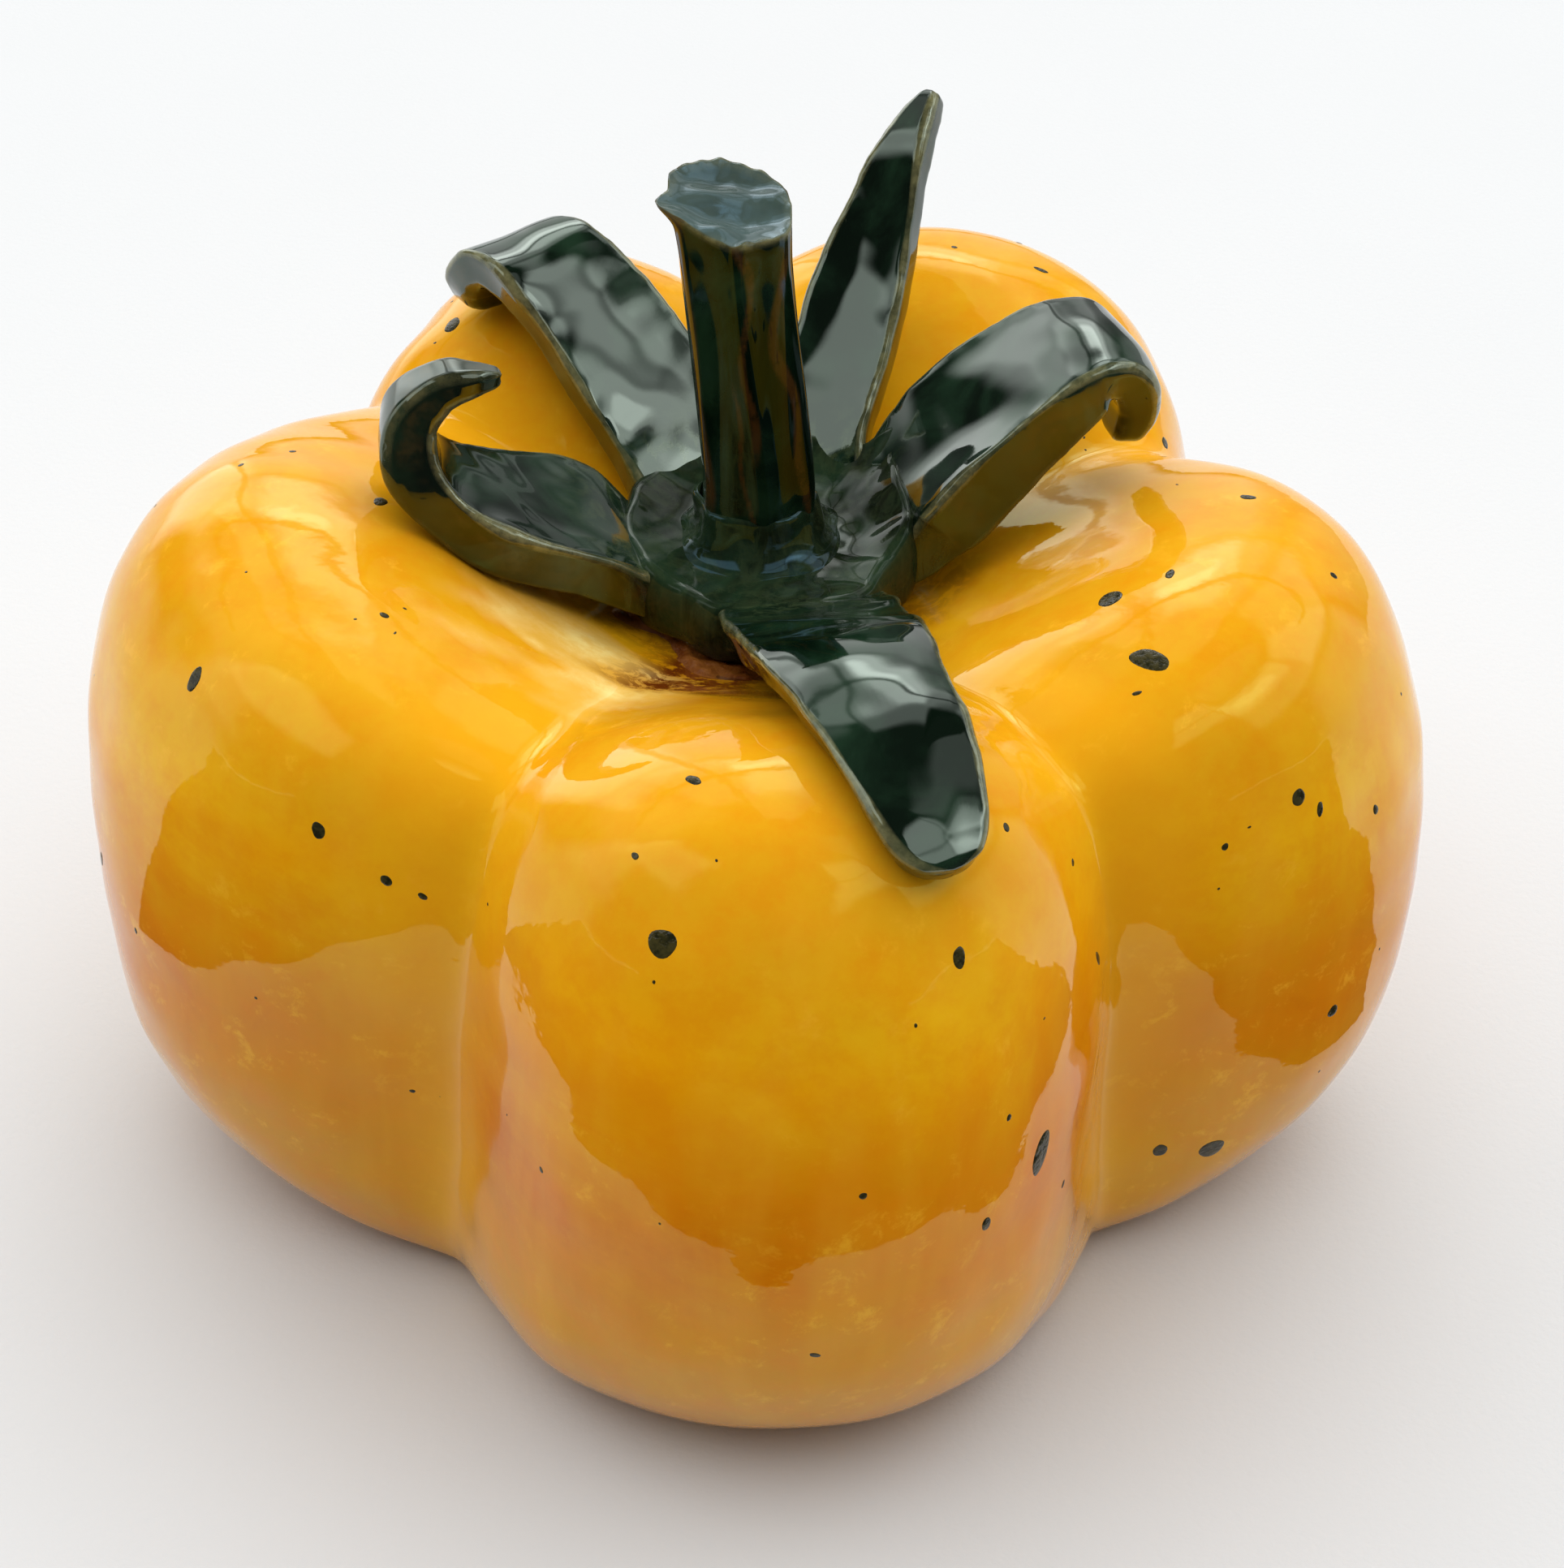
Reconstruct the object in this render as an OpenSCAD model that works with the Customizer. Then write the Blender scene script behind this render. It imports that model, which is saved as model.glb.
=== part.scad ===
// Ceramic pumpkin figure: a hollow five-lobed body, closed by a slab at the foot,
// with a hand-cut green calyx and stalk luted into the well at the top.
// Millimetres. +Z is up, the foot stands on Z = 0 and the origin is the middle of the foot.
// Azimuths are degrees counter-clockwise from +X; the figure's front faces -Y.

/* [Lobes] */
// Crest radius of the front lobe
front_r = 56.5; // [54:0.5:58]
// Crest radius of the right lobe
right_r = 54; // [52:0.5:56]
// Crest radius of the back right lobe
back_right_r = 51; // [49:0.5:53]
// Crest radius of the back left lobe
back_left_r = 47; // [46:0.5:50]
// Crest radius of the left lobe
left_r = 54.5; // [52:0.5:56]

/* [Grooves] */
// Azimuth of the groove between the left and front lobes
front_left_at = 238; // [235:1:242]
// Azimuth of the groove between the front and right lobes
front_right_at = 310; // [306:1:313]
// Azimuth of the groove between the right and back right lobes
right_at = 17; // [14:1:21]
// Azimuth of the groove between the two back lobes
back_at = 99; // [96:1:103]
// Azimuth of the groove between the back left and left lobes
left_at = 156; // [152:1:159]
// Depth of the front left groove
front_left_depth = 12; // [8:0.5:13]
// Depth of the front right groove
front_right_depth = 12.5; // [8:0.5:13]
// Depth of the right groove
right_depth = 14; // [11:0.5:15]
// Depth of the back groove
back_depth = 7.5; // [6:0.5:10]
// Depth of the left groove
left_depth = 6; // [4:0.5:8]
// Degrees by which the front lobe spreads wider at the foot and narrower at the top
front_spread = 5.5; // [0:0.5:8]

/* [Body] */
// Height of the widest level above the table
belly_h = 27.2; // [26:0.2:28.6]
// Rise from the widest level to the top of a crest
top_rise = 32; // [30:0.2:33]
// Drop of the full lower curve, which the foot cuts off flat
foot_drop = 29.3; // [29:0.1:32]
// Share of a groove's height that it dips below the crests
groove_dip = 0.18; // [0.1:0.02:0.3]
// Height of the flat seat in the well that carries the calyx
seat_h = 46; // [45:0.5:47]
// Radius of the flat seat
seat_r = 10.6; // [10.5:0.1:12]
// Thickness of the body's wall
wall = 4.5; // [3:0.5:6]

/* [Base] */
// Radius of the slab that closes the foot
slab_r = 16; // [12:1:20]
// Thickness of the slab
slab_t = 4.5; // [3:0.5:6]
// Diameter of the kiln vent through the slab
vent_d = 6; // [3:0.5:8]
// Distance of the vent from the middle of the foot
vent_at = 9; // [8:0.5:9]

/* [Calyx] */
// Thickness of the iron-rich pad under the hub
pad_t = 1; // [0.5:0.1:1.5]
// Radius of the pad
pad_r = 9.4; // [8:0.2:10]
// Distance from the axis to the hub's flat sides, where the sepals start
hub_r = 9; // [8.9:0.1:9.2]
// Thickness of the hub
hub_t = 4.5; // [4.3:0.1:5]
// Azimuth of the front sepal
sepal_front_at = 284; // [282:1:286]
// Azimuth of the right sepal
sepal_right_at = 13; // [11:1:14]
// Azimuth of the back sepal
sepal_back_at = 67; // [66:1:69]
// Azimuth of the back left sepal
sepal_back_left_at = 127; // [125:1:129]
// Azimuth of the left sepal
sepal_left_at = 193; // [191:1:195]

/* [Stalk] */
// Distance between opposite flats of the stalk
stalk_w = 8.9; // [8:0.1:9]
// Height of the stalk above the hub
stalk_h = 29; // [24:0.5:32]
// Offset of the stalk's foot from the axis, towards the left lobe
stalk_shift = 0.7; // [0:0.1:1]
// Further lean of the stalk's cut end, towards the left lobe
stalk_lean = 2.3; // [0:0.1:4]
// Slope of the cut end from left to right
cut_slope_x = -0.22; // [-0.3:0.02:0]
// Slope of the cut end from front to back
cut_slope_y = 0.17; // [0:0.01:0.3]
// Outer radius of the luting collar around the stalk's foot
collar_r = 6.4; // [6:0.1:7]
// Height of the luting collar
collar_h = 3.6; // [2.5:0.1:4]

/* [Hidden] */

crest_r = [front_r, right_r, back_right_r, back_left_r, left_r];
groove_at = [front_left_at, front_right_at, right_at, back_at, left_at];
groove_depth = [front_left_depth, front_right_depth, right_depth, back_depth, left_depth];
lobes = len(crest_r);

// Meridian: a squared-off arc above and below the widest level
UPPER_HUB = 0.7;       // share of the radius inside the upper arc
LOWER_HUB = 0.53;      // share of the radius inside the lower arc
UPPER_SQUARE = 2.5;    // superellipse power of the upper arc
LOWER_SQUARE = 2.65;   // superellipse power of the lower arc
UPPER_FADE = 0.35;     // how far a groove fades out by the top
LOWER_FADE = 0.57;     // how far a groove fades out by the foot
WELL_POWER = 1.3;      // steepness of the well's side
GROOVE_SOFT = 0.1;     // width of a groove's rounded bottom
GROOVE_POWER = 0.9;    // fullness of a lobe between its grooves
CREST_BLEND = 0.25;    // share of a lobe over which its radius blends into the next
front_at = 273;        // azimuth of the front lobe's crest

around = 96;           // points around the body
OUTSIDE = [9, 14, 10]; // rows of the outer skin: well, upper arc, lower arc
INSIDE = [5, 9, 6];    // rows of the inner skin

// ---- Body ----

function wrap(a) = a - 360 * floor(a / 360);
function next(k) = (k + 1) % lobes;
function before(k) = (k + lobes - 1) % lobes;
function lobe_span(k) = wrap(groove_at[next(k)] - groove_at[k]);
function lobe_of(a) = [for (k = [0 : lobes - 1]) if (wrap(a - groove_at[k]) < lobe_span(k)) k][0];
function lobe_share(a, k) = wrap(a - groove_at[k]) / lobe_span(k);
function ease(t) = t <= 0 ? 0 : t >= 1 ? 1 : t * t * (3 - 2 * t);
function mix(a, b, t) = a + (b - a) * t;

// Radius at the bottom of groove k
function valley_r(k) = min(crest_r[k], crest_r[before(k)]) - groove_depth[k];

// 0 in a groove, 1 on a crest
function fullness(u) =
    let (s = pow(sin(180 * u), 2), e = pow(GROOVE_SOFT, 2), p = GROOVE_POWER / 2)
    (pow(s + e, p) - pow(e, p)) / (pow(1 + e, p) - pow(e, p));

// Crest radius, blended across each groove
function crest_at(u, k) =
    let (low = mix(crest_r[before(k)], crest_r[k], 0.5 + 0.5 * ease(u / CREST_BLEND)),
         high = mix(crest_r[next(k)], crest_r[k], 0.5 + 0.5 * ease((1 - u) / CREST_BLEND)))
    u < 0.5 ? low : high;

// Plan of the body at azimuth a: [radius, crest radius, fullness]
function plan_at(a) =
    let (k = lobe_of(a), u = lobe_share(a, k), full = fullness(u), crest = crest_at(u, k),
         valley = mix(valley_r(k), valley_r(next(k)), ease(u)))
    [mix(valley, crest, full), crest, full];

// Superellipse arc: share of its width and of its height at angle t
function arc_x(t, power) = pow(abs(cos(t)), 2 / power);
function arc_z(t, power) = pow(abs(sin(t)), 2 / power);

// Elevation at which the lower arc meets the level that lies h above the table
function foot_angle(h, inset) =
    asin(pow((belly_h - h) / (foot_drop - inset), LOWER_SQUARE / 2));

// Plan azimuth that shapes the wall at azimuth a and elevation t
function spread(a, t) = a + front_spread * sin(t) * sin(2 * (a - front_at));

// Point of the side wall; t runs from the foot angle up to 90, inset shrinks the skin
function side_point(a, t, inset) =
    let (plan = plan_at(spread(a, t)), fade = pow(sin(t), 2) * (t > 0 ? UPPER_FADE : LOWER_FADE),
         r = mix(plan[0], plan[1], fade) - inset,
         inner = r * (t > 0 ? UPPER_HUB : LOWER_HUB),
         rho = inner + (r - inner) * arc_x(t, t > 0 ? UPPER_SQUARE : LOWER_SQUARE),
         rise = (top_rise - inset) * (1 - groove_dip * (1 - plan[2])),
         z = t > 0 ? belly_h + rise * arc_z(t, UPPER_SQUARE)
                   : belly_h - (foot_drop - inset) * arc_z(t, LOWER_SQUARE))
    [rho * cos(a), rho * sin(a), z];

// Point of the well; f runs from 1 at the rim to 0 at the seat
function well_point(a, f, inset) =
    let (rim = side_point(a, 90, inset), rim_r = norm([rim.x, rim.y]),
         rho = mix(seat_r, rim_r, f), floor_h = seat_h - inset,
         z = floor_h + (rim.z - floor_h) * pow(sin(90 * f), WELL_POWER))
    [rho * cos(a), rho * sin(a), z];

// Rows of one skin from the seat down to the foot
function skin_rows(inset, rows) =
    let (foot = -foot_angle(inset, inset))
    [for (i = [0 : rows[0] - 1]) [for (j = [0 : around - 1])
         well_point(360 * j / around, i / rows[0], inset)],
     for (i = [0 : rows[1]]) [for (j = [0 : around - 1])
         side_point(360 * j / around, 90 * (1 - i / rows[1]), inset)],
     for (i = [1 : rows[2]]) [for (j = [0 : around - 1])
         side_point(360 * j / around, foot * i / rows[2], inset)]];

function circle_row(r, z, count) =
    [for (j = [0 : count - 1]) [r * cos(360 * j / count), r * sin(360 * j / count), z]];

function reversed(rows) = [for (i = [len(rows) - 1 : -1 : 0]) rows[i]];

// Closed solid through rows of equal length, with a point in the middle of each end
module loft(rows) {
    n = len(rows[0]);
    last = len(rows) - 1;
    middles = [middle(rows[0]), middle(rows[last])];
    points = concat([for (row = rows) each row], middles);
    sides = [for (i = [0 : last - 1], j = [0 : n - 1])
        let (a = i * n + j, b = i * n + (j + 1) % n)
        each [[a, b, b + n], [a, b + n, a + n]]];
    caps = [for (j = [0 : n - 1])
        each [[(j + 1) % n, j, n * (last + 1)],
              [last * n + j, last * n + (j + 1) % n, n * (last + 1) + 1]]];
    polyhedron(points, concat(sides, caps), convexity = 8);
}

function middle(row) = [for (i = [0 : 2]) sum(row, i) / len(row)];
function sum(row, i, k = 0) = k == len(row) ? 0 : row[k][i] + sum(row, i, k + 1);

module body_shell() {
    outside = skin_rows(0, OUTSIDE);
    inside = reversed(skin_rows(wall, INSIDE));
    hole = [circle_row(slab_r, 0, around), circle_row(slab_r, wall, around)];
    color("#e9ab30") loft(concat(outside, hole, inside));
}

module base_slab() {
    clearance = 0.02;
    color("#cdb28c") difference() {
        cylinder(h = slab_t, r = slab_r - clearance, $fn = 96);
        translate([0, vent_at, -1]) cylinder(h = slab_t + 2, d = vent_d, $fn = 48);
    }
}

// ---- Calyx ----

pad_z = seat_h;
hub_z = pad_z + pad_t;
hub_mid = hub_z + hub_t / 2;
stalk_z = hub_z + hub_t;

// Each sepal is a strap through stations of [out, side, up, width, thickness]: distance from the
// axis along the sepal's azimuth, offset across it, height, and the strap's section there.
front_strap = [
    [hub_r, 0, hub_mid, 16, 4],
    [15, 0.1, 52.8, 14.2, 3.6],
    [22, -0.8, 56.6, 13.4, 3.4],
    [30, -1.3, 60.6, 12.6, 3.3],
    [38, -0.6, 61.5, 10.6, 3.1],
    [43.5, 0.2, 60, 8.8, 3],
    [47, 0.9, 58.2, 6.8, 2.8],
    [48.7, 1.3, 57.3, 3.4, 2.4]];
right_strap = [
    [hub_r, 0, hub_mid, 9, 4.2],
    [12.6, 1, 53.2, 14, 5.4],
    [16.6, 0.9, 58.2, 14.6, 5.6],
    [21.8, 0.4, 63.2, 13.4, 5],
    [25.2, 0.2, 65.2, 11.8, 4],
    [27.4, 0, 64.4, 9.8, 3.4],
    [28.6, -0.2, 61.4, 7.2, 3],
    [28.4, -0.4, 57.6, 3.6, 2.2]];
back_strap = [
    [hub_r, 0, hub_mid, 9, 4],
    [13, 1, 53.6, 8.6, 3.8],
    [18, 1.2, 58, 8.6, 3.6],
    [22.5, 1.2, 63, 7.8, 3.4],
    [25.5, 0.8, 67.6, 6.2, 3],
    [28.2, 0.4, 71.4, 4.4, 2.6],
    [30.8, 0, 73.8, 2.6, 2.2],
    [32.2, -0.2, 74.8, 1.6, 1.6]];
back_left_strap = [
    [hub_r, 0, hub_mid, 9.6, 4.2],
    [14, -0.4, 53.2, 12, 4.2],
    [19, 0.4, 57.6, 11.8, 4],
    [23.5, 1.5, 61.2, 11, 3.8],
    [27.2, 2.8, 63.6, 10.4, 3.6],
    [30.4, 4, 63.4, 9.4, 3.4],
    [32.6, 4.8, 60.8, 7, 3],
    [33, 5, 58.4, 3.6, 2.4]];
left_strap = [
    [hub_r, 0, hub_mid, 9.4, 4.2],
    [15, -0.4, 53.4, 14.2, 4.6],
    [20, 0, 55.6, 13.6, 4.6],
    [24.4, -0.1, 58, 10.8, 4.4],
    [27.2, -0.4, 61.4, 7.8, 4.2],
    [27.3, -0.6, 65.2, 5.8, 3.6],
    [25, -0.4, 67.6, 4.2, 2.8],
    [22, 0, 68.2, 2.8, 2],
    [20.2, 0, 68, 1.4, 1.4]];

STRAP_STEPS = 3;       // rows between two stations
STRAP_AROUND = 16;     // points around a strap
STRAP_SQUARE = 4;      // squareness of a strap's section

// Smooth curve through the stations, at position s (0 at the first station)
function station(list, i) = list[max(0, min(len(list) - 1, i))];
function along(list, s) =
    let (i = min(floor(s), len(list) - 2), t = s - i,
         a = station(list, i - 1), b = station(list, i), c = station(list, i + 1), d = station(list, i + 2))
    0.5 * (2 * b + (c - a) * t + (2 * a - 5 * b + 4 * c - d) * t * t + (3 * b - a - 3 * c + d) * t * t * t);

function unit(v) = v / norm(v);
function spot(list, s) = let (p = along(list, s)) [p[0], p[1], p[2]];

// One row of a strap: a rounded slab section square to the strap's path, upright at the root;
// under is the width of its underside as a share of the width of its top
function strap_row(list, s, under) =
    let (p = along(list, s), end = len(list) - 1, step = 0.05,
         ahead = spot(list, min(end, s + step)) - spot(list, max(0, s - step)),
         path = unit(mix([1, 0, 0], unit(ahead), min(1, s))),
         across = unit([0, 1, 0] - path * path.y),
         up = cross(path, across))
    [for (j = [0 : STRAP_AROUND - 1])
        let (q = 360 * j / STRAP_AROUND,
             x = sign(cos(q)) * pow(abs(cos(q)), 2 / STRAP_SQUARE) * p[3] / 2,
             z = sign(sin(q)) * pow(abs(sin(q)), 2 / STRAP_SQUARE) * p[4] / 2,
             cut = mix(1, under, min(1, s) * (0.5 - z / p[4])))
        [p[0], p[1], p[2]] + across * x * cut + up * z];

module strap(list, at, under) {
    last = (len(list) - 1) * STRAP_STEPS;
    rotate([0, 0, at]) loft([for (i = [last : -1 : 0]) strap_row(list, i / STRAP_STEPS, under)]);
}

module luting_pad() {
    color("#7a3a1c") translate([0, 0, pad_z]) cylinder(h = pad_t, r = pad_r, $fn = 64);
}

// The hub has one flat side for each sepal, as wide as that sepal's root
module calyx_hub() {
    sides = [[front_strap, sepal_front_at], [right_strap, sepal_right_at + 360],
             [back_strap, sepal_back_at + 360], [back_left_strap, sepal_back_left_at + 360],
             [left_strap, sepal_left_at + 360]];
    outline = [for (side = sides, end = [-0.5, 0.5])
        let (half = end * side[0][0][3], a = side[1])
        [hub_r * cos(a) - half * sin(a), hub_r * sin(a) + half * cos(a)]];
    color("#26372c") translate([0, 0, hub_z]) linear_extrude(height = hub_t) polygon(outline);
}

module sepal_front() { color("#2c4033") strap(front_strap, sepal_front_at, 0.8); }
module sepal_right() { color("#2c4033") strap(right_strap, sepal_right_at, 1); }
module sepal_back() { color("#2c4033") strap(back_strap, sepal_back_at, 0.9); }
module sepal_back_left() { color("#2c4033") strap(back_left_strap, sepal_back_left_at, 0.85); }
module sepal_left() { color("#2c4033") strap(left_strap, sepal_left_at, 0.85); }

// ---- Stalk ----

STALK_FLATS = 8;
STALK_AROUND = 24;
STALK_ROWS = 10;

// Outline of a polygon with flats, at azimuth a
function flat_r(a) = stalk_w / 2 / cos(wrap(a) % (360 / STALK_FLATS) - 180 / STALK_FLATS);

// Height of the slanted cut above the hub at plan position x, y
function cut_h(x, y) = stalk_h + cut_slope_x * (x + stalk_lean) + cut_slope_y * y;

module stalk() {
    rows = [for (i = [0 : STALK_ROWS])
        let (f = i / STALK_ROWS, lean = -stalk_lean * max(0, f - 0.2) / 0.8)
        [for (j = [0 : STALK_AROUND - 1])
            let (a = 360 * j / STALK_AROUND, x = flat_r(a) * cos(a) + lean, y = flat_r(a) * sin(a))
            [x, y, stalk_z + f * cut_h(x, y)]]];
    color("#1f2d26") translate([-stalk_shift, 0, 0]) loft(reversed(rows));
}

module stalk_collar() {
    bore_r = stalk_w / 2 / cos(180 / STALK_FLATS) + 0.02;
    color("#1f2d26") translate([-stalk_shift, 0, stalk_z]) rotate_extrude($fn = 64)
        polygon([[bore_r, 0], [collar_r, 0], [collar_r - 0.2, 1.2], [bore_r + 0.9, collar_h - 0.4],
                 [bore_r, collar_h]]);
}

body_shell();
base_slab();
luting_pad();
calyx_hub();
sepal_front();
sepal_right();
sepal_back();
sepal_back_left();
sepal_left();
stalk();
stalk_collar();
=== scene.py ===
"""Glazed ceramic pumpkin: the detailed visual model, its studio and its camera."""
import math

import bpy
import numpy as np
from mathutils import Matrix, Vector


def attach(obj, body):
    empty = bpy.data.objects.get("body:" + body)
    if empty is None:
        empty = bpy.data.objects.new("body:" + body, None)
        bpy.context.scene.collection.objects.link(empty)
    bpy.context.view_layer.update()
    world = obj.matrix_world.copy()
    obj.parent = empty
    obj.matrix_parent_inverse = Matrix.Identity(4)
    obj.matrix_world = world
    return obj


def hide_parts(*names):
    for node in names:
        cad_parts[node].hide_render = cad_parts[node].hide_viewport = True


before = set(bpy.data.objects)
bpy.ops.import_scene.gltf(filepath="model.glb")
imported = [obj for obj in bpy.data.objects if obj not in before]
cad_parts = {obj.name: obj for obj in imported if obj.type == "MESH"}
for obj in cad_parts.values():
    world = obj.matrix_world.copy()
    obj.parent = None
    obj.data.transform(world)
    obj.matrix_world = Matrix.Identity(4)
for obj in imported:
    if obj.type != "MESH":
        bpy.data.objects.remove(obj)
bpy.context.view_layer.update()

MM = 0.001

# ---- Shape of the body, as in the CAD model, in millimetres and degrees ----

CREST_R = np.array([56.5, 54.0, 51.0, 47.0, 54.5])
GROOVE_AT = np.array([238.0, 310.0, 17.0, 99.0, 156.0])
GROOVE_DEPTH = np.array([12.0, 12.5, 14.0, 7.5, 6.0])
VALLEY_R = np.minimum(CREST_R, np.roll(CREST_R, 1)) - GROOVE_DEPTH
FRONT_AT = 273.0
FRONT_SPREAD = 5.5
BELLY_H = 27.2
TOP_RISE = 32.0
FOOT_DROP = 29.3
GROOVE_DIP = 0.18
SEAT_H = 46.0
SEAT_R = 10.6
WALL = 4.5
SLAB_R = 16.0
UPPER_HUB, LOWER_HUB = 0.7, 0.53
UPPER_SQUARE, LOWER_SQUARE = 2.5, 2.65
UPPER_FADE, LOWER_FADE = 0.35, 0.57
WELL_POWER = 1.3
GROOVE_SOFT, GROOVE_POWER = 0.1, 0.9
CREST_BLEND = 0.25


def mix(a, b, t):
    """Value at share t of the way from a to b."""
    return a + (b - a) * t


def ease(t):
    """Smooth step from 0 to 1."""
    t = np.clip(t, 0.0, 1.0)
    return t * t * (3.0 - 2.0 * t)


def cosd(a):
    """Cosine of an angle in degrees."""
    return np.cos(np.radians(a))


def sind(a):
    """Sine of an angle in degrees."""
    return np.sin(np.radians(a))


def azimuths(count):
    """Evenly spaced azimuths for one row of points."""
    return np.arange(count) * 360.0 / count


def apart(a, b):
    """Angle between two azimuths, from 0 to 180."""
    return np.abs((a - b + 180) % 360 - 180)


def polar(r, a, z):
    """Points at radius r, azimuth a and height z."""
    return np.stack([r * cosd(a), r * sind(a), z], axis=-1)


def turned(profile, around, shift=0.0):
    """Rows of a turned form, one for each (radius, height), with its axis shifted along X."""
    a = azimuths(around)
    rows = np.array([polar(r, a, np.full(around, h)) for r, h in profile])
    return rows + np.array([shift, 0.0, 0.0])


def fullness(u):
    """How full the plan is at share u of the way across a lobe: 0 in a groove, 1 on the crest."""
    s, e, p = sind(180.0 * u) ** 2, GROOVE_SOFT ** 2, GROOVE_POWER / 2
    return ((s + e) ** p - e ** p) / ((1 + e) ** p - e ** p)


def plan_at(a):
    """Radius, crest radius and fullness of the body's plan at azimuth a."""
    from_groove = np.stack([(a - g) % 360.0 for g in GROOVE_AT])
    k = np.argmin(from_groove, axis=0)
    after, before = (k + 1) % 5, (k + 4) % 5
    span = (GROOVE_AT[after] - GROOVE_AT[k]) % 360.0
    u = np.take_along_axis(from_groove, k[None], axis=0)[0] / span
    full = fullness(u)
    low = mix(CREST_R[before], CREST_R[k], 0.5 + 0.5 * ease(u / CREST_BLEND))
    high = mix(CREST_R[after], CREST_R[k], 0.5 + 0.5 * ease((1 - u) / CREST_BLEND))
    crest = np.where(u < 0.5, low, high)
    valley = mix(VALLEY_R[k], VALLEY_R[after], ease(u))
    return mix(valley, crest, full), crest, full


def side_point(a, t, inset=0.0):
    """Point of the side wall at azimuth a; arc angle t is 0 at the belly and 90 at the rim."""
    plan, crest, full = plan_at(a + FRONT_SPREAD * sind(t) * sind(2 * (a - FRONT_AT)))
    upper = t > 0
    square = np.where(upper, UPPER_SQUARE, LOWER_SQUARE)
    r = mix(plan, crest, sind(t) ** 2 * np.where(upper, UPPER_FADE, LOWER_FADE)) - inset
    inner = r * np.where(upper, UPPER_HUB, LOWER_HUB)
    rho = inner + (r - inner) * np.abs(cosd(t)) ** (2 / square)
    arc = np.abs(sind(t)) ** (2 / square)
    rise = (TOP_RISE - inset) * (1 - GROOVE_DIP * (1 - full))
    z = BELLY_H + np.where(upper, rise, -(FOOT_DROP - inset)) * arc
    return polar(rho, a, z)


def well_point(a, f, inset=0.0):
    """Point of the well around the calyx; f is 0 at the seat and 1 at the rim."""
    rim = side_point(a, np.full_like(a, 90.0), inset)
    rho = mix(SEAT_R, np.hypot(rim[..., 0], rim[..., 1]), f)
    floor_h = SEAT_H - inset
    z = floor_h + (rim[..., 2] - floor_h) * sind(90.0 * f) ** WELL_POWER
    return polar(rho, a, z)


def well_height(a, r):
    """Height of the well's surface at azimuth a and radius r."""
    rim = side_point(a, np.full_like(a, 90.0))
    f = np.clip((r - SEAT_R) / (np.hypot(rim[..., 0], rim[..., 1]) - SEAT_R), 0, 1)
    return SEAT_H + (rim[..., 2] - SEAT_H) * sind(90 * f) ** WELL_POWER


def skin_rows(inset, around, counts):
    """Rows of one skin of the body, from the seat down to the foot."""
    a = azimuths(around)
    foot = -math.degrees(math.asin(((BELLY_H - inset) / (FOOT_DROP - inset)) ** (LOWER_SQUARE / 2)))
    well = [well_point(a, i / counts[0], inset) for i in range(counts[0])]
    upper = [side_point(a, np.full(around, 90.0 * (1 - i / counts[1])), inset)
             for i in range(counts[1] + 1)]
    lower = [side_point(a, np.full(around, foot * i / counts[2]), inset)
             for i in range(1, counts[2] + 1)]
    return np.array(well + upper + lower)


# ---- Mesh helpers ----

def unit(v):
    """Vectors scaled to unit length."""
    return v / np.linalg.norm(v, axis=-1, keepdims=True)


def ripple(points, size, seed, waves=12):
    """Smooth random field of about unit strength whose bumps are about that size across."""
    rng = np.random.default_rng(seed)
    total = np.zeros(points.shape[:-1])
    for _ in range(waves):
        way = rng.normal(size=3)
        way *= 2 * math.pi / size * rng.uniform(0.6, 1.5) / np.linalg.norm(way)
        total += np.sin(points @ way + rng.uniform(0, 2 * math.pi))
    return total / math.sqrt(waves / 2)


def outward(rows):
    """Unit normals of a grid of rows that close on themselves, turned away from the rows' middles."""
    along = np.gradient(rows, axis=0)
    across = np.roll(rows, -1, axis=1) - np.roll(rows, 1, axis=1)
    normal = np.cross(across, along)
    normal = normal / np.maximum(np.linalg.norm(normal, axis=-1, keepdims=True), 1e-9)
    away = rows - rows.mean(axis=1, keepdims=True)
    return -normal if (away * normal).sum() < 0 else normal


def signed_volume(mesh):
    """Volume inside a closed mesh, negative when its faces are wound inwards."""
    mesh.calc_loop_triangles()
    points = np.empty(len(mesh.vertices) * 3)
    mesh.vertices.foreach_get("co", points)
    points = points.reshape(-1, 3)
    corners = np.empty(len(mesh.loop_triangles) * 3, dtype=np.int32)
    mesh.loop_triangles.foreach_get("vertices", corners)
    a, b, c = (points[corners.reshape(-1, 3)[:, i]] for i in range(3))
    return np.einsum("ij,ij->i", a, np.cross(b, c)).sum() / 6


def add_object(name, data):
    """New object in the scene."""
    made = bpy.data.objects.new(name, data)
    bpy.context.collection.objects.link(made)
    return made


def smooth_object(name, points, faces, values=None):
    """Smooth-shaded closed mesh of points in millimetres, wound outwards, with values per point."""
    mesh = bpy.data.meshes.new(name)
    mesh.from_pydata((points * MM).tolist(), [], faces)
    mesh.polygons.foreach_set("use_smooth", np.ones(len(mesh.polygons), dtype=bool))
    for key, value in (values or {}).items():
        mesh.attributes.new(key, "FLOAT", "POINT").data.foreach_set("value", value)
    mesh.update()
    if signed_volume(mesh) < 0:
        mesh.flip_normals()
    return add_object(name, mesh)


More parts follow.
